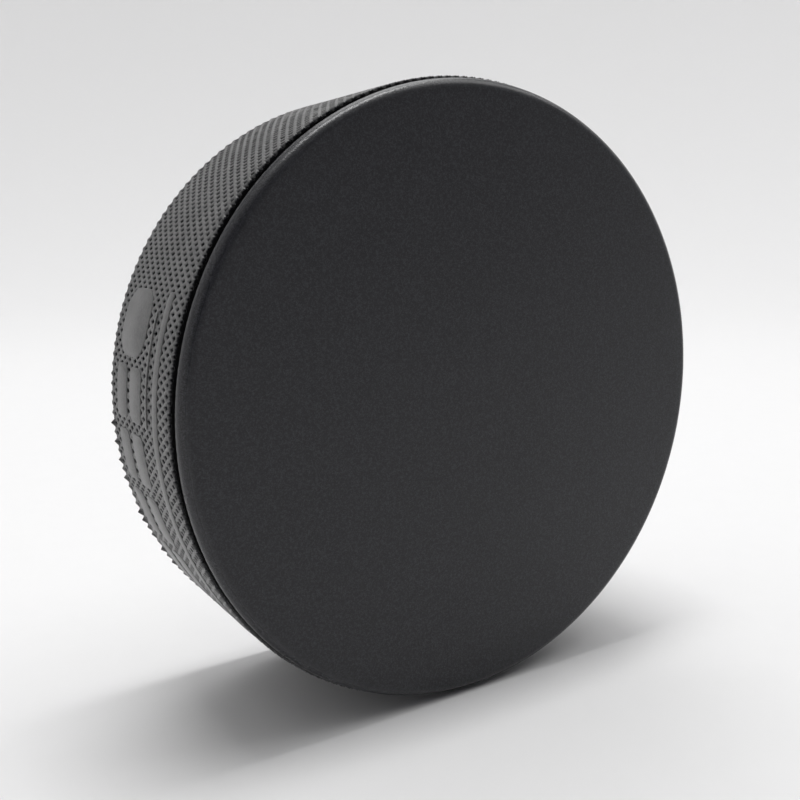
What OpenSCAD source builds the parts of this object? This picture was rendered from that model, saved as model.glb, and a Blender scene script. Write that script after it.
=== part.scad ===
// Ice hockey puck: one disc of moulded rubber, standing on its rim.
// The origin is the centre of the disc. The disc's axis lies along Y, its
// plain front face looks along -Y, and Z is up.

/* [Disc] */
// Diameter over the top of the knurled band
puck_d = 76.2; // [60:0.1:100]
// Thickness from face to face
puck_t = 25.4; // [16:0.1:40]

/* [Rim] */
// Radius of the rounded edge round each face
edge_r = 1.3; // [0.4:0.1:3]
// How far each rounded rim stands in from the top of the knurl
rim_step = 0.4; // [0.05:0.05:0.6]
// Straight land between the rounded edge and the groove
rim_land = 0.1; // [0.05:0.05:1]

/* [Groove] */
// Width of the groove between each rim and the knurled band
groove_w = 0.8; // [0.3:0.1:2]
// Depth of the groove, measured in from the rim
groove_depth = 0.5; // [0.3:0.05:1.5]

/* [Knurl] */
// Number of teeth round each end of the band
teeth = 200; // [100:1:240]
// Angle between the knurl's ridges and the disc's axis
knurl_angle = 32; // [20:1:45]
// Width of the flat top of a ridge
ridge_w = 0.25; // [0.1:0.05:0.4]
// Depth of the pits between the ridges
pit_depth = 0.3; // [0.1:0.05:0.35]

/* [Hidden] */
$fn = 180;

crest_r = puck_d / 2;
rim_r = crest_r - rim_step;
groove_r = rim_r - groove_depth;
half_t = puck_t / 2;
// Height above mid-thickness where each rim ends and its groove begins
rim_in = half_t - edge_r - rim_land;
// Height above mid-thickness where the knurled band ends
band_half = rim_in - groove_w;

// The knurl is a net of diamonds, fitted a whole number of times round the
// band and across it
tooth_step = 360 / teeth;
diamond_w = PI * puck_d / teeth;
rows = round(2 * band_half / (diamond_w / tan(knurl_angle)));
diamond_l = 2 * band_half / rows;
// A pit is its diamond less half a ridge on every side
side_distance = diamond_w * diamond_l / 2 / norm([diamond_w, diamond_l]);
pit_share = 1 - ridge_w / 2 / side_distance;
// How far a cutting shape runs past the surface that it cuts; less than the
// narrowest groove
over = 0.2;

rubber = [0.12, 0.12, 0.125];

// One rounded rim, drawn at the top of the outline
module rim_outline() {
    round_x = rim_r - edge_r;
    round_y = half_t - edge_r;
    translate([0, rim_in]) square([rim_r, rim_land]);
    translate([0, round_y]) square([round_x, edge_r]);
    intersection() {
        translate([round_x, round_y]) circle(r = edge_r);
        translate([round_x, round_y]) square(edge_r);
    }
}

// The disc's outline: radius to the right, thickness upwards, with the
// axis of the disc on the left
module disc_outline() {
    // core at the depth of the grooves
    translate([0, -rim_in]) square([groove_r, 2 * rim_in]);
    // band at the top of the knurl
    translate([0, -band_half]) square([crest_r, 2 * band_half]);
    rim_outline();
    mirror([0, 1]) rim_outline();
}

// Cutter for the open half of a pit at the top end of the band: a notch that
// narrows downwards, the lower half of a diamond
module tooth_gap() {
    long_half = pit_share * diamond_l / 2;
    short_half = pit_share * diamond_w / 2;
    // the notch's sides run on straight past the end of the band
    wide_half = short_half * (1 + over / long_half);
    translate([crest_r - pit_depth, 0, band_half])
        rotate([0, 90, 0])
            linear_extrude(pit_depth + over)
                polygon([[long_half, 0], [-over, wide_half],
                         [-over, -wide_half]]);
}

// The gaps that leave a row of teeth at each end of the band
module tooth_gaps() {
    for (i = [0 : teeth - 1])
        rotate([0, 0, (i + 0.5) * tooth_step]) {
            tooth_gap();
            mirror([0, 0, 1]) tooth_gap();
        }
}

// The whole puck is one piece of rubber
module moulded_puck() {
    color(rubber)
        rotate([90, 0, 0])
            difference() {
                rotate_extrude() disc_outline();
                tooth_gaps();
            }
}

moulded_puck();
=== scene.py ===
"""An ice hockey puck of moulded rubber, standing on its rim in a small pale studio.

The puck is one closed mesh: two plain faces with rounded rims, a groove inside
each rim, and a side band with a diamond knurl, smooth moulded bars and small
rubber burrs. Its axis lies along Y and the plain front face looks along -Y.
"""

import math
import random

import bmesh
import bpy
from mathutils import Matrix, Vector


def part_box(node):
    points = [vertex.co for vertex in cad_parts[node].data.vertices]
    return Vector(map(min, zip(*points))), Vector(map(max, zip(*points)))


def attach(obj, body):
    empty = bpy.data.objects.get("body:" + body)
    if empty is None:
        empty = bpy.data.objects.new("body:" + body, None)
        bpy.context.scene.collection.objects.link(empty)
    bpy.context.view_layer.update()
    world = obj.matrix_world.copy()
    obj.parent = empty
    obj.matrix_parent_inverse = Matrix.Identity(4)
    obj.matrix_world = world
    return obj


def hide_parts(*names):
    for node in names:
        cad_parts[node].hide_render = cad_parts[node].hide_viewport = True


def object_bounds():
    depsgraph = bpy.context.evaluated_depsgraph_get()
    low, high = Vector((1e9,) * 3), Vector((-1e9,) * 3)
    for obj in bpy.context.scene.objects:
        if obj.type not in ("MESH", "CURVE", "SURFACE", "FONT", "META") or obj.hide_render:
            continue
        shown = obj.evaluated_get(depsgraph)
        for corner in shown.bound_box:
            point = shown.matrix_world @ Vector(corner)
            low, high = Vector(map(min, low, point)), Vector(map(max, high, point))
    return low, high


bl_info = {
    "name": "Moulded hockey puck",
    "version": (1, 0, 0),
    "blender": (4, 5, 0),
    "location": "View3D > Sidebar > Puck",
    "description": "Models a knurled rubber hockey puck and the studio that shows it",
    "category": "Add Mesh",
}

NODE = "moulded_puck"
MM = 0.001
# Painted shade: between these two places along Y the floor and wall turn dark grey in front of the
# puck.
FRONT_FADE = (-0.3, -1.0)  # where along Y the floor turns from pale to dark grey, in metres

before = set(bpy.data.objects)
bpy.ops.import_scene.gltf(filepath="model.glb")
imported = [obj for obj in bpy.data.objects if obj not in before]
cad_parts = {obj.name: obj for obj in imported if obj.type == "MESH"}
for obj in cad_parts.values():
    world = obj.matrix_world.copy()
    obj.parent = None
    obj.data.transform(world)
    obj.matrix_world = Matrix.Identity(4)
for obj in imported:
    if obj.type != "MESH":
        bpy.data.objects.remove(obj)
CAD_BOX = [list(corner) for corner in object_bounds()]
LOWEST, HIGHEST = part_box(NODE)


# ---------------------------------------------------------------- settings


def length(name, description, default):
    """A property that holds a length in metres."""
    return bpy.props.FloatProperty(
        name=name, description=description, default=default, min=0, unit="LENGTH", precision=5
    )


def angle(name, description, degrees):
    """A property that holds an angle, given here in degrees."""
    return bpy.props.FloatProperty(
        name=name, description=description, default=math.radians(degrees), subtype="ANGLE"
    )


def colour(name, description, default):
    """A property that holds a linear colour."""
    return bpy.props.FloatVectorProperty(
        name=name, description=description, default=default, subtype="COLOR", min=0, max=1
    )


def share(name, description, default):
    """A property that holds a share between 0 and 1."""
    return bpy.props.FloatProperty(
        name=name, description=description, default=default, min=0, max=1, subtype="FACTOR"
    )


def power(name, description, watts):
    """A property that holds a light's power in watts."""
    return bpy.props.FloatProperty(
        name=name, description=description, default=watts, min=0, unit="POWER"
    )


class PuckSizes(bpy.types.PropertyGroup):
    diameter: length("Diameter", "Across the top of the knurled band", HIGHEST.x - LOWEST.x)
    thickness: length("Thickness", "From face to face", HIGHEST.y - LOWEST.y)
    edge_radius: length("Edge radius", "Radius of the rounded edge round each face", 1.3 * MM)
    rim_step: length("Rim step", "How far each rim stands in from the top of the knurl", 0.4 * MM)
    rim_land: length("Rim land", "Straight part between the rounded edge and the groove", 0.1 * MM)
    groove_width: length("Groove width", "Between each rim and the knurled band", 0.8 * MM)
    groove_depth: length("Groove depth", "Measured in from the rim", 0.5 * MM)
    teeth: bpy.props.IntProperty(
        name="Teeth", description="Teeth round each end of the knurled band", default=200, min=60
    )
    rows: bpy.props.IntProperty(
        name="Rows", description="Diamonds across the knurled band", default=11, min=3
    )
    ridge_width: length("Ridge width", "Flat top of a ridge of the knurl", 0.26 * MM)
    shoulder_width: length("Shoulder width", "Rounded shoulder beside a ridge's top", 0.09 * MM)
    shoulder_drop: length("Shoulder drop", "How far the shoulder falls", 0.05 * MM)
    wall_width: length("Wall width", "Sloping side of a pit, seen from above", 0.12 * MM)
    pit_depth: length("Pit depth", "From a ridge's top to the floor of a pit", 0.34 * MM)
    ridge_wear: length("Ridge wear", "How unevenly the ridges are worn", 0.045 * MM)
    tooth_drop: length("Tooth drop", "How far the front teeth slope down at their tips", 0.12 * MM)
    notch_depth: length(
        "Notch depth", "Between the back teeth, which the mould's joint fills", 0.1 * MM
    )
    burr_height: length("Burr height", "The tallest burr on the back teeth", 0.38 * MM)
    burr_start: angle("Burr start", "Where the tall burrs begin, from the top towards -X", 84)
    burr_end: angle("Burr end", "Where the tall burrs end", 152)
    bar_height: length("Bar height", "How far a moulded bar stands above the ridges", 0.04 * MM)
    bar_edge: length("Bar edge", "Rounding of a moulded bar's upper edge", 0.08 * MM)


def band_limits(sizes):
    """How far from the middle each rim's inner side and each end of the band lie."""
    rim_in = sizes.thickness / 2 - sizes.edge_radius - sizes.rim_land
    return rim_in, rim_in - sizes.groove_width


class PuckFinish(bpy.types.PropertyGroup):
    rubber: colour("Rubber", "Plain black rubber of the faces and rims", (0.0125, 0.0127, 0.0148))
    # Painted shade: this darker colour is laid down in the pits and grooves, where shade falls.
    painted_pit_shade: colour("Pit rubber", "Rubber down in the pits and grooves", (0.006, 0.006, 0.0065))
    rubbed: colour("Rubbed rubber", "Greyer rubber on the ridges and bars", (0.096, 0.0955, 0.0945))
    face_roughness: share("Face roughness", "Roughness of the plain faces", 0.5)
    rim_roughness: share("Rim roughness", "Roughness of the smoother rounded rims", 0.26)
    band_roughness: share("Band roughness", "Roughness of the ridges and bars", 0.36)


class StudioSettings(bpy.types.PropertyGroup):
    azimuth: angle("Camera azimuth", "Turn of the camera round the puck, from the front", -34.18)
    elevation: angle("Camera elevation", "Height of the camera as an angle", 9.19)
    distance: length("Camera distance", "From the centre of the puck", 119.54 * MM)
    aim: bpy.props.FloatVectorProperty(
        name="Camera aim",
        description="The point that the camera looks at",
        default=(-3.46 * MM, 0, -1.47 * MM),
        subtype="TRANSLATION",
        precision=5,
    )
    lens: bpy.props.FloatProperty(
        name="Lens", description="Focal length", default=40.15, subtype="DISTANCE_CAMERA"
    )
    floor_colour: colour("Floor colour", "Pale floor and walls", (0.77, 0.768, 0.77))
    # Painted shade: a dark grey wall in front of the puck, to keep the front face dark by
    # reflection.
    painted_front_shade: colour("Front colour", "Wall in front of the puck", (0.09, 0.09, 0.10))
    floor_radius: length("Floor radius", "From the puck to the wall", 1.8)
    wall_height: length("Wall height", "Height of the round wall", 1.8)
    sweep_radius: length("Sweep radius", "Curve between the floor and the wall", 1.3)
    fill: bpy.props.FloatProperty(
        name="Fill strength",
        description="Brightness of the even light all round",
        default=0.28,
        min=0,
    )
    strip_power: power("Strip light power", "Narrow softbox straight above the puck", 5.0)
    ceiling_power: power("Ceiling light power", "Wide soft light high above the puck", 5.5)
    rear_power: power("Rear light power", "Softbox high behind the puck, to the right", 15.5)
    right_power: power("Right light power", "Softbox high on the right", 9.5)
    left_power: power("Left light power", "Softbox high on the left", 1.5)


# ------------------------------------------------------------ shader maths


class Signal:
    """One socket of a material's nodes, on which sums are written as sums."""

    def __init__(self, nodes, socket):
        self.nodes = nodes
        self.socket = socket

    def maths(self, operation, *values):
        inputs = dict(enumerate(values))
        return self.nodes.add("ShaderNodeMath", {"operation": operation}, inputs)

    def __add__(self, other):
        return self.maths("ADD", self, other)

    def __radd__(self, other):
        return self.maths("ADD", other, self)

    def __sub__(self, other):
        return self.maths("SUBTRACT", self, other)

    def __rsub__(self, other):
        return self.maths("SUBTRACT", other, self)

    def __mul__(self, other):
        return self.maths("MULTIPLY", self, other)

    def __rmul__(self, other):
        return self.maths("MULTIPLY", other, self)

    def __abs__(self):
        return self.maths("ABSOLUTE", self)


class Nodes:
    """The nodes of a new material."""

    def __init__(self, name):
        self.material = bpy.data.materials.new(name)
        self.material.use_nodes = True
        self.tree = self.material.node_tree
        self.tree.nodes.clear()

    def add(self, kind, settings=None, inputs=None, output=0):
        """Adds one node: its settings first, then its sockets' values and links."""
        node = self.tree.nodes.new(kind)
        for name, value in (settings or {}).items():
            setattr(node, name, value)
        for name, value in (inputs or {}).items():
            if isinstance(value, Signal):
                self.tree.links.new(value.socket, node.inputs[name])
            else:
                node.inputs[name].default_value = value
        return Signal(self, node.outputs[output]) if node.outputs else None

    def ramp(self, value, start, end):
        """0 where value is at start or before it, 1 at end or past it, smooth between."""
        return self.add(
            "ShaderNodeMapRange",
            {"interpolation_type": "SMOOTHSTEP"},
            {"Value": value, "From Min": start, "From Max": end},
        )

    def noise(self, place, size, detail=2.0, roughness=0.5):
        """Noise from 0 to 1 whose blotches are about size metres across."""
        return self.add(
            "ShaderNodeTexNoise",
            {"noise_dimensions": "3D"},
            {"Vector": place, "Scale": 1 / size, "Detail": detail, "Roughness": roughness},
        )

    def blend(self, factor, first, second):
        """A colour from first, where factor is 0, to second, where it is 1."""
        return self.add(
            "ShaderNodeMix",
            {"data_type": "RGBA"},
            {"Factor": factor, "A": rgba(first), "B": rgba(second)},
            output="Result",
        )


def rgba(value):
    """A colour property's value as the four numbers that a colour socket takes."""
    return value if isinstance(value, Signal) else (*value[:3], 1.0)


def vulcanised_rubber(sizes, finish):
    """Matte black rubber, rubbed grey on the ridges; painted shade darkens the pits and grooves and
    the ridges near the band's ends.
    """
    nodes = Nodes("vulcanised_rubber")
    crest = sizes.diameter / 2
    rim_radius = crest - sizes.rim_step
    rim_in, band_half = band_limits(sizes)

    place = nodes.add("ShaderNodeTexCoord", output="Object")
    across = nodes.add("ShaderNodeVectorMath", {"operation": "MULTIPLY"}, {0: place, 1: (1, 0, 1)})
    radius = nodes.add("ShaderNodeVectorMath", {"operation": "LENGTH"}, {0: across}, output="Value")
    along = abs(nodes.add("ShaderNodeSeparateXYZ", inputs={"Vector": place}, output="Y"))

    mottle = nodes.noise(place, 14 * MM, detail=3)
    cloud = nodes.noise(place, 3.2 * MM, detail=3, roughness=0.6)
    grain = nodes.noise(place, 0.32 * MM, detail=2, roughness=0.6)
    speck = nodes.noise(place, 0.11 * MM, detail=1)

    ridge = nodes.ramp(radius, crest - 0.16 * MM, crest - 0.03 * MM)
    deep = nodes.ramp(radius, crest - 0.12 * MM, crest - 0.30 * MM)
    in_band = nodes.ramp(along, rim_in + 0.02 * MM, rim_in - 0.02 * MM)
    # Painted shade: a mask of the pits and grooves, which are painted darker.
    pit_shade_mask = deep * in_band * nodes.ramp(radius, crest - 1.5 * MM, crest - 1.2 * MM)
    # Painted shade: the ridges' rubbed grey fades towards the ends of the band.
    end_shade_mask = nodes.ramp(along, band_half - 2 * MM, band_half)

    black = nodes.blend(
        0.5 * mottle + 0.5 * cloud, shaded(finish.rubber, 0.75), shaded(finish.rubber, 1.25)
    )
    dust = nodes.ramp(0.6 * speck + 0.4 * grain, 0.42, 0.66)
    face = nodes.blend(0.8 * dust, black, shaded(finish.rubber, 3.2))
    # Random wear of the ridges' grey, and painted shade that lowers it near the band's ends.
    wear_and_end_shade = 0.62 + 0.5 * cloud - 0.14 * end_shade_mask
    rubbed = nodes.blend(
        nodes.ramp(0.5 * grain + 0.3 * cloud + 0.2 * mottle, 0.36, 0.64),
        shaded(finish.rubbed, 0.6),
        shaded(finish.rubbed, 1.30),
    )
    surface = nodes.blend(ridge * wear_and_end_shade, face, rubbed)
    # Painted shade in the pits and grooves.
    surface = nodes.blend(pit_shade_mask, surface, finish.painted_pit_shade)

    on_rim = nodes.ramp(radius, rim_radius - sizes.edge_radius, rim_radius - 0.6 * MM)
    smooth = finish.face_roughness + (finish.rim_roughness - finish.face_roughness) * on_rim
    smooth = smooth + 0.10 * (cloud - 0.5)
    rough = nodes.add(
        "ShaderNodeMix",
        {"data_type": "FLOAT"},
        {"Factor": ridge, "A": smooth, "B": finish.band_roughness + 0.16 * (grain - 0.5)},
    )
    fine = nodes.add(
        "ShaderNodeBump",
        inputs={"Strength": 0.7, "Distance": 0.05 * MM, "Height": 0.6 * grain + 0.4 * speck},
    )
    shader = nodes.add(
        "ShaderNodeBsdfPrincipled",
        inputs={
            "Base Color": surface,
            "Roughness": rough,
            "Normal": fine,
            "Specular IOR Level": 0.4,
        },
    )
    nodes.add("ShaderNodeOutputMaterial", inputs={"Surface": shader})
    return nodes.material


def shaded(tint, amount):
    """A colour made darker or lighter by a plain factor."""
    return tuple(min(1.0, part * amount) for part in tint[:3])


def pale_paper(settings):
    """Matte pale floor and back wall, with painted shade: a dark grey well in front of the puck."""
    nodes = Nodes("pale_paper")
    place = nodes.add("ShaderNodeTexCoord", output="Object")
    fibre = nodes.noise(place, 4 * MM, detail=3)
    forward = nodes.add("ShaderNodeSeparateXYZ", inputs={"Vector": place}, output="Y")
    tint = nodes.blend(
        fibre, shaded(settings.floor_colour, 0.99), shaded(settings.floor_colour, 1.01)
    )
    # Painted shade: the floor and wall in front of the puck turn dark grey.
    tint = nodes.blend(nodes.ramp(forward, *FRONT_FADE), tint, settings.painted_front_shade)
    shader = nodes.add(
        "ShaderNodeBsdfPrincipled",
        inputs={"Base Color": tint, "Roughness": 0.8, "Specular IOR Level": 0.2},
    )
    nodes.add("ShaderNodeOutputMaterial", inputs={"Surface": shader})
    return nodes.material


# ---------------------------------------------------------------- modelling

AXIS = Vector((0, 1, 0))
CENTRE = Vector((0, 0, 0))
WELD = 0.01 * MM

TIP_MATCH = 0.02  # how far off a tooth's middle its tip may be, as a share of a tooth
LOW_BURRS = 0.15  # height outside the burrs' reach, as a share of the tallest
RARE_TALL = 1.5  # a power that makes tall burrs rarer than low ones
NEAR_FLOOR = -0.985  # burrs below this share of the radius would touch the floor

BAR_FACET = 1.5  # degrees round the puck that one flat piece of a bar takes
PAD = (68.5, 80.5, -0.9, 8.0, 3.0)
PAIRS = ((82, 91.5), (93.5, 103), (105, 114.5), (116.5, 126), (128, 137.5))
PAIR_ROWS = ((-1.0, 3.1), (4.1, 8.0))
PAIR_CORNER = 1.0
STRIPE = (68.5, 137.5, -6.7, -5.0, 0.8)
THIN_LINE = (72, 91.5, -3.3, -2.8, 0.24)


def everything(bm):
    return bm.verts[:] + bm.edges[:] + bm.faces[:]


def turn_about_axis(radians):
    """Rotation about the puck's axis, from the top towards -X."""
    return Matrix.Rotation(-radians, 3, "Y")


def copies(bm, parts, count, turn=0.0, shift=(0, 0, 0)):
    """Leaves count of parts in all, each turned about the axis and shifted from the one before."""
    bmesh.ops.spin(
        bm,
        geom=parts,
        cent=CENTRE,
        axis=AXIS,
        dvec=shift,
        angle=turn * (count - 1),
        steps=count - 1,
        use_duplicate=True,
    )


def knurl_diamond(bm, sizes, width, breadth):
    """One diamond of the knurl, facing +Z: half of the ridges round it, and its pit."""
    made = bmesh.ops.create_circle(bm, cap_ends=True, segments=4, radius=0.5)
    bmesh.ops.scale(bm, vec=(width, breadth, 1), verts=made["verts"])
    pit = made["verts"][0].link_faces[0]
    pit.normal_update()
    if pit.normal.z < 0:
        pit.normal_flip()
    wall_drop = sizes.pit_depth - sizes.shoulder_drop
    for inwards, down in (
        (sizes.ridge_width / 2, 0),
        (sizes.shoulder_width, sizes.shoulder_drop),
        (sizes.wall_width, wall_drop),
    ):
        bmesh.ops.inset_individual(
            bm, faces=[pit], thickness=inwards, depth=-down, use_even_offset=True
        )


def knurled_band(bm, sizes, band_half):
    """The side band: diamonds in two sets, one half a diamond round and along from the other."""
    crest = sizes.diameter / 2
    step = 2 * math.pi / sizes.teeth
    width = 2 * crest * math.tan(step / 2)
    breadth = 2 * band_half / sizes.rows
    knurl_diamond(bm, sizes, width, breadth)
    bmesh.ops.translate(bm, vec=(0, -band_half + breadth / 2, crest), verts=bm.verts)
    first = everything(bm)
    second = bmesh.ops.duplicate(bm, geom=first)["geom"]
    second_verts = [part for part in second if isinstance(part, bmesh.types.BMVert)]
    bmesh.ops.translate(bm, vec=(0, -breadth / 2, 0), verts=second_verts)
    bmesh.ops.rotate(bm, cent=CENTRE, matrix=turn_about_axis(step / 2), verts=second_verts)
    copies(bm, first, sizes.rows, shift=(0, breadth, 0))
    copies(bm, second, sizes.rows + 1, shift=(0, breadth, 0))
    for end in (band_half, -band_half):
        bmesh.ops.bisect_plane(
            bm,
            geom=everything(bm),
            dist=0.1 * WELD,
            plane_co=(0, end, 0),
            plane_no=(0, end, 0),
            clear_outer=True,
        )
    copies(bm, everything(bm), sizes.teeth, turn=step)
    bmesh.ops.remove_doubles(bm, verts=bm.verts, dist=WELD)


def band_ends(bm, sizes, groove_radius):
    """The flat walls at the ends of the band, down to the grooves' floors."""
    step = math.pi / sizes.teeth
    rim = [edge for edge in bm.edges if edge.is_boundary]
    made = bmesh.ops.extrude_edge_only(bm, edges=rim)["geom"]
    for vert in (part for part in made if isinstance(part, bmesh.types.BMVert)):
        turn = round(math.atan2(vert.co.x, vert.co.z) / step) * step
        vert.co.x = groove_radius * math.sin(turn)
        vert.co.z = groove_radius * math.cos(turn)


def rims_and_faces(bm, sizes, groove_radius, rim_in, band_half):
    """From each end of the band over the groove and the rim to the centre of the face."""
    rim_radius = sizes.diameter / 2 - sizes.rim_step
    half = sizes.thickness / 2
    face_radius = rim_radius - sizes.edge_radius
    outer_ring = 1.4 * MM  # a ring of faces near the edge, which keeps its shading smooth
    inner_share = 0.6
    outline = [
        bm.verts.new((0, y, radius))
        for radius, y in (
            (groove_radius, band_half),
            (groove_radius, rim_in),
            (rim_radius, rim_in),
            (rim_radius, half),
            (face_radius - outer_ring, half),
            (inner_share * face_radius, half),
            (0, half),
        )
    ]
    for pair in zip(outline, outline[1:]):
        bm.edges.new(pair)
    bmesh.ops.bevel(
        bm,
        geom=[outline[3]],
        offset=sizes.edge_radius,
        segments=7,
        profile=0.5,
        affect="VERTICES",
        material=-1,
    )
    bmesh.ops.remove_doubles(bm, verts=bm.verts, dist=WELD)
    bmesh.ops.spin(
        bm,
        geom=everything(bm),
        cent=CENTRE,
        axis=AXIS,
        angle=2 * math.pi,
        steps=2 * sizes.teeth,
        use_merge=True,
    )


def wear_ridges(bm, sizes, band_half):
    """Leaves the ridges of the knurl slightly uneven, as moulded rubber is."""
    chance = random.Random(3)
    crest = sizes.diameter / 2
    for vert in bm.verts:
        radius = math.hypot(vert.co.x, vert.co.z)
        sink, along = chance.random(), chance.random() - 0.5
        if abs(vert.co.y) < band_half - 0.3 * MM and radius > crest - 1.5 * sizes.shoulder_drop:
            lowered = (radius - sizes.ridge_wear * sink) / radius
            shift = sizes.ridge_wear * along
            vert.co = (vert.co.x * lowered, vert.co.y + shift, vert.co.z * lowered)


def tooth_tips(bm, sizes, band_half):
    """The outermost vertex of each tooth at both ends of the band, in a fixed order."""
    step = 2 * math.pi / sizes.teeth
    crest = sizes.diameter / 2
    tips = []
    for vert in bm.verts:
        turn = math.atan2(-vert.co.x, vert.co.z) / step
        on_end = abs(abs(vert.co.y) - band_half) < WELD
        on_crest = abs(math.hypot(vert.co.x, vert.co.z) - crest) < WELD
        if on_end and on_crest and abs(turn - round(turn)) < TIP_MATCH:
            tips.append((vert.co.y > 0, round(turn), vert))
    return sorted(tips, key=lambda tip: tip[:2])


def shape_teeth(bm, sizes, band_half):
    """Slopes the front teeth, and fills and pulls out the back ones at the mould's joint."""
    chance = random.Random(7)
    step = 2 * math.pi / sizes.teeth
    crest = sizes.diameter / 2
    for vert in bm.verts:
        radius = math.hypot(vert.co.x, vert.co.z)
        in_notch = crest - 2 * sizes.pit_depth < radius < crest - sizes.notch_depth
        if abs(vert.co.y - band_half) < WELD and in_notch:
            lift = (crest - sizes.notch_depth) / radius
            vert.co = (vert.co.x * lift, vert.co.y, vert.co.z * lift)
    for at_back, number, tip in tooth_tips(bm, sizes, band_half):
        out = Vector((tip.co.x, 0, tip.co.z)).normalized()
        tall, low, lean, sideways = (chance.random() for _ in range(4))
        if not at_back:
            tip.co -= out * sizes.tooth_drop
            continue
        in_reach = sizes.burr_start < (number * step) % (2 * math.pi) < sizes.burr_end
        height = sizes.burr_height * (tall**RARE_TALL if in_reach else LOW_BURRS * low)
        if tip.co.z < NEAR_FLOOR * sizes.diameter / 2:
            height = 0
        along = AXIS * (0.5 * lean - 0.1) + out.cross(AXIS) * (0.5 * sideways - 0.25)
        tip.co += (out + along) * height


def moulded_bar(sizes, start, end, low, high, corner, proud=0.0):
    """A smooth rounded bar wrapped on the knurl, in degrees round it and millimetres along it.

    Its corners are rounded to corner and it stands up by proud more than other bars do.
    """
    crest = sizes.diameter / 2
    top = crest + sizes.bar_height + proud * MM
    bm = bmesh.new()
    bmesh.ops.create_grid(bm, x_segments=1, y_segments=1, size=0.5)
    round_length = math.radians(end - start) * crest
    bmesh.ops.scale(bm, vec=(round_length, (high - low) * MM, 1), verts=bm.verts)
    bmesh.ops.bevel(
        bm,
        geom=bm.verts[:],
        offset=corner * MM,
        segments=6,
        profile=0.5,
        affect="VERTICES",
        material=-1,
    )
    pieces = max(2, round((end - start) / BAR_FACET))
    for number in range(1, pieces):
        cut = (number / pieces - 0.5) * round_length
        bmesh.ops.bisect_plane(
            bm, geom=everything(bm), dist=WELD, plane_co=(cut, 0, 0), plane_no=(1, 0, 0)
        )
    lifted = bmesh.ops.extrude_face_region(bm, geom=bm.faces[:])["geom"]
    upper = [part for part in lifted if isinstance(part, bmesh.types.BMVert)]
    bmesh.ops.translate(bm, vec=(0, 0, 2 * sizes.pit_depth), verts=upper)
    bmesh.ops.recalc_face_normals(bm, faces=bm.faces)
    brim = [
        edge
        for edge in bm.edges
        if all(vert in upper for vert in edge.verts) and edge.calc_face_angle(0) > 1
    ]
    bmesh.ops.bevel(
        bm, geom=brim, offset=sizes.bar_edge, segments=2, profile=0.5, affect="EDGES", material=-1
    )
    middle = math.radians(start + end) / 2
    for vert in bm.verts:
        turn = middle + vert.co.x / crest
        radius = top - 2 * sizes.pit_depth + vert.co.z
        along = vert.co.y + (low + high) / 2 * MM
        vert.co = (-radius * math.sin(turn), along, radius * math.cos(turn))
    bmesh.ops.recalc_face_normals(bm, faces=bm.faces)
    return bm


def moulded_bars(sizes):
    """A new mesh with the plain moulded shapes of the side band."""
    bars = [moulded_bar(sizes, *PAD)]
    for start, end in PAIRS:
        for low, high in PAIR_ROWS:
            bars.append(moulded_bar(sizes, start, end, low, high, PAIR_CORNER))
    bars.append(moulded_bar(sizes, *STRIPE))
    bars.append(moulded_bar(sizes, *THIN_LINE, proud=0.06))
    bm = bmesh.new()
    mesh = bpy.data.meshes.new("moulded_bars")
    for bar in bars:
        bar.to_mesh(mesh)
        bar.free()
        bm.from_mesh(mesh)
    bm.to_mesh(mesh)
    bm.free()
    return mesh


def new_object(name, mesh):
    made = bpy.data.objects.new(name, mesh)
    bpy.context.scene.collection.objects.link(made)
    return made


def tidy_mesh(mesh):
    """Merges the points that a union leaves on top of each other, so no face is without size."""
    bm = bmesh.new()
    bm.from_mesh(mesh)
    bmesh.ops.remove_doubles(bm, verts=bm.verts, dist=0.1 * WELD)
    bm.to_mesh(mesh)
    bm.free()


def join_bars(puck, sizes):
    """Unites the moulded bars with the knurled band and removes the loose bars."""
    bars = new_object("moulded_bars", moulded_bars(sizes))
    union = puck.modifiers.new("bars", "BOOLEAN")
    union.operation = "UNION"
    union.solver = "EXACT"
    union.object = bars
    seen = puck.evaluated_get(bpy.context.evaluated_depsgraph_get())
    joined = bpy.data.meshes.new_from_object(seen)
    puck.modifiers.clear()
    plain, puck.data = puck.data, joined
    bpy.data.meshes.remove(plain)
    tidy_mesh(joined)
    bpy.data.meshes.remove(bars.data)
    joined.name = NODE


class PUCK_OT_mould(bpy.types.Operator):
    """Model the rubber puck and give it its finish"""

    bl_idname = "puck.mould"
    bl_label = "Mould the puck"

    def execute(self, context):
        sizes = context.scene.puck_sizes
        rim_in, band_half = band_limits(sizes)
        groove_radius = sizes.diameter / 2 - sizes.rim_step - sizes.groove_depth
        bm = bmesh.new()
        rims_and_faces(bm, sizes, groove_radius, rim_in, band_half)
        bmesh.ops.remove_doubles(bm, verts=bm.verts, dist=WELD)
        bmesh.ops.mirror(bm, geom=everything(bm), axis="Y", merge_dist=0)
        band = bmesh.new()
        knurled_band(band, sizes, band_half)
        band_ends(band, sizes, groove_radius)
        knurl = bpy.data.meshes.new("knurl")
        band.to_mesh(knurl)
        band.free()
        bm.from_mesh(knurl)
        bpy.data.meshes.remove(knurl)
        bmesh.ops.remove_doubles(bm, verts=bm.verts, dist=WELD)
        bmesh.ops.recalc_face_normals(bm, faces=bm.faces)
        wear_ridges(bm, sizes, band_half)
        shape_teeth(bm, sizes, band_half)
        mesh = bpy.data.meshes.new(NODE)
        bm.to_mesh(mesh)
        bm.free()
        puck = new_object("rubber_puck", mesh)
        join_bars(puck, sizes)
        puck.data.shade_smooth()
        puck.data.set_sharp_from_angle(angle=math.radians(50))
        puck.data.materials.clear()
        puck.data.materials.append(vulcanised_rubber(sizes, context.scene.puck_finish))
        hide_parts(NODE)
        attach(puck, "root")
        return {"FINISHED"}


# -------------------------------------------------------------------- stage


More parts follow.
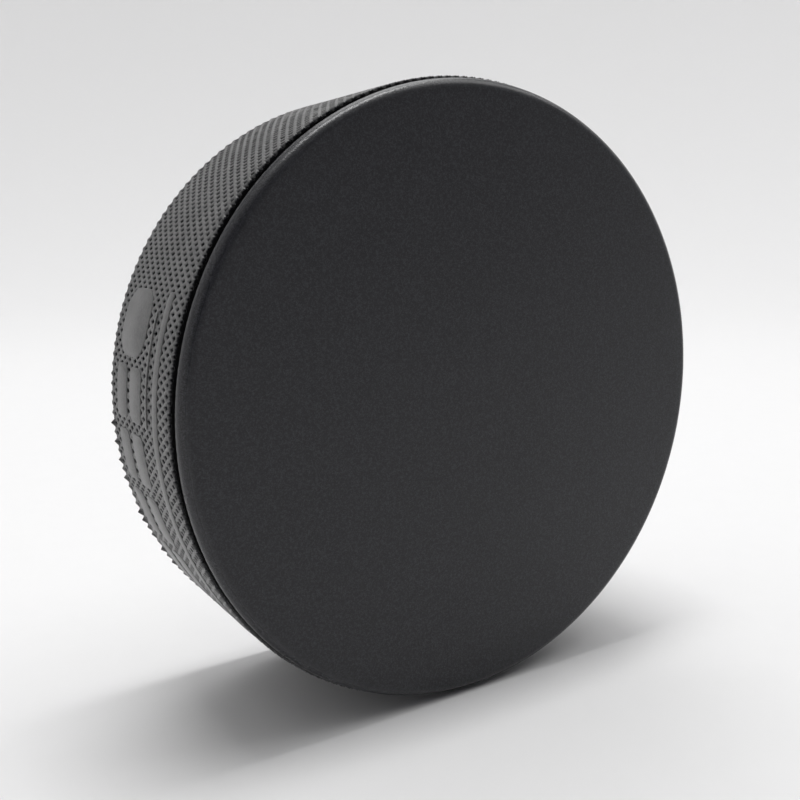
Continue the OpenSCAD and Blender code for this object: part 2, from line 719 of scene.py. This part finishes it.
def place_on_sphere(azimuth, elevation, distance):
    """The point at that distance from the puck's centre; azimuth 0 is in front of it."""
    return Vector(
        (
            math.sin(azimuth) * math.cos(elevation),
            -math.cos(azimuth) * math.cos(elevation),
            math.sin(elevation),
        )
    ) * distance


def aimed(made, place, target):
    """Puts an object at place and points its -Z at target."""
    made.location = place
    made.rotation_euler = (Vector(target) - Vector(place)).to_track_quat("-Z", "Y").to_euler()


def paper_sweep(settings):
    """A round pale floor whose edge curves up into a wall."""
    bm = bmesh.new()
    made = bmesh.ops.create_circle(bm, cap_ends=True, segments=96, radius=settings.floor_radius)
    corner = [edge for edge in bm.edges if edge.is_boundary]
    raised = bmesh.ops.extrude_edge_only(bm, edges=corner)["geom"]
    upper = [part for part in raised if isinstance(part, bmesh.types.BMVert)]
    bmesh.ops.translate(bm, vec=(0, 0, settings.wall_height), verts=upper)
    ring = [edge for edge in bm.edges if all(vert in made["verts"] for vert in edge.verts)]
    bmesh.ops.bevel(
        bm,
        geom=ring,
        offset=settings.sweep_radius,
        segments=16,
        profile=0.5,
        affect="EDGES",
        material=-1,
    )
    bmesh.ops.translate(bm, vec=(0, 0, CAD_BOX[0][2]), verts=bm.verts)
    bmesh.ops.recalc_face_normals(bm, faces=bm.faces)
    mesh = bpy.data.meshes.new("paper_sweep")
    bm.to_mesh(mesh)
    bm.free()
    mesh.shade_smooth()
    mesh.materials.append(pale_paper(settings))
    return new_object("paper_sweep", mesh)


def softbox(name, watts, size, place):
    """A rectangular soft light that points at the puck."""
    light = bpy.data.lights.new(name, "AREA")
    light.shape = "RECTANGLE"
    light.size, light.size_y = size
    light.energy = watts
    made = new_object(name, light)
    aimed(made, place, CENTRE)


def even_light(strength):
    world = bpy.data.worlds.new("even_light")
    world.use_nodes = True
    background = world.node_tree.nodes["Background"]
    background.inputs["Color"].default_value = (1, 1, 1, 1)
    background.inputs["Strength"].default_value = strength
    bpy.context.scene.world = world


def camera(settings):
    data = bpy.data.cameras.new("camera")
    data.lens = settings.lens
    data.sensor_width = 36
    data.clip_start = 0.005
    made = new_object("camera", data)
    place = place_on_sphere(settings.azimuth, settings.elevation, settings.distance)
    aimed(made, place, settings.aim)
    bpy.context.scene.camera = made


class PUCK_OT_set_studio(bpy.types.Operator):
    """Set up the pale floor, the soft light and the camera"""

    bl_idname = "puck.set_studio"
    bl_label = "Set the studio"

    def execute(self, context):
        settings = context.scene.puck_studio
        paper_sweep(settings)
        softbox("strip_light", settings.strip_power, (0.6, 0.14), (0, 0.03, 1.0))
        softbox("ceiling_light", settings.ceiling_power, (2.0, 2.0), (0, 0, 1.6))
        softbox("rear_light", settings.rear_power, (1.5, 1.5), (0.63, 1.32, 1.88))
        softbox("right_light", settings.right_power, (1.3, 1.3), (1.17, -0.26, 1.69))
        softbox("left_light", settings.left_power, (1.3, 1.3), (-1.17, 0.39, 1.56))
        even_light(settings.fill)
        camera(settings)
        context.scene.view_settings.view_transform = "Standard"
        return {"FINISHED"}


# ------------------------------------------------------------------- add-on


class PUCK_PT_sidebar(bpy.types.Panel):
    """Sizes, finish and studio of the puck"""

    bl_idname = "PUCK_PT_sidebar"
    bl_label = "Hockey puck"
    bl_space_type = "VIEW_3D"
    bl_region_type = "UI"
    bl_category = "Puck"

    def draw(self, context):
        scene = context.scene
        for settings in (scene.puck_sizes, scene.puck_finish, scene.puck_studio):
            box = self.layout.box()
            for name in settings.bl_rna.properties.keys():
                if name not in {"rna_type", "name"}:
                    box.prop(settings, name)
        for operator in (PUCK_OT_mould, PUCK_OT_set_studio):
            self.layout.operator(operator.bl_idname)


CLASSES = (
    PuckSizes,
    PuckFinish,
    StudioSettings,
    PUCK_OT_mould,
    PUCK_OT_set_studio,
    PUCK_PT_sidebar,
)


def register():
    for kind in CLASSES:
        bpy.utils.register_class(kind)
    bpy.types.Scene.puck_sizes = bpy.props.PointerProperty(type=PuckSizes)
    bpy.types.Scene.puck_finish = bpy.props.PointerProperty(type=PuckFinish)
    bpy.types.Scene.puck_studio = bpy.props.PointerProperty(type=StudioSettings)


def unregister():
    del bpy.types.Scene.puck_studio
    del bpy.types.Scene.puck_finish
    del bpy.types.Scene.puck_sizes
    for kind in reversed(CLASSES):
        bpy.utils.unregister_class(kind)


def main():
    register()
    bpy.ops.puck.set_studio()
    bpy.ops.puck.mould()


if __name__ == "__main__":
    main()
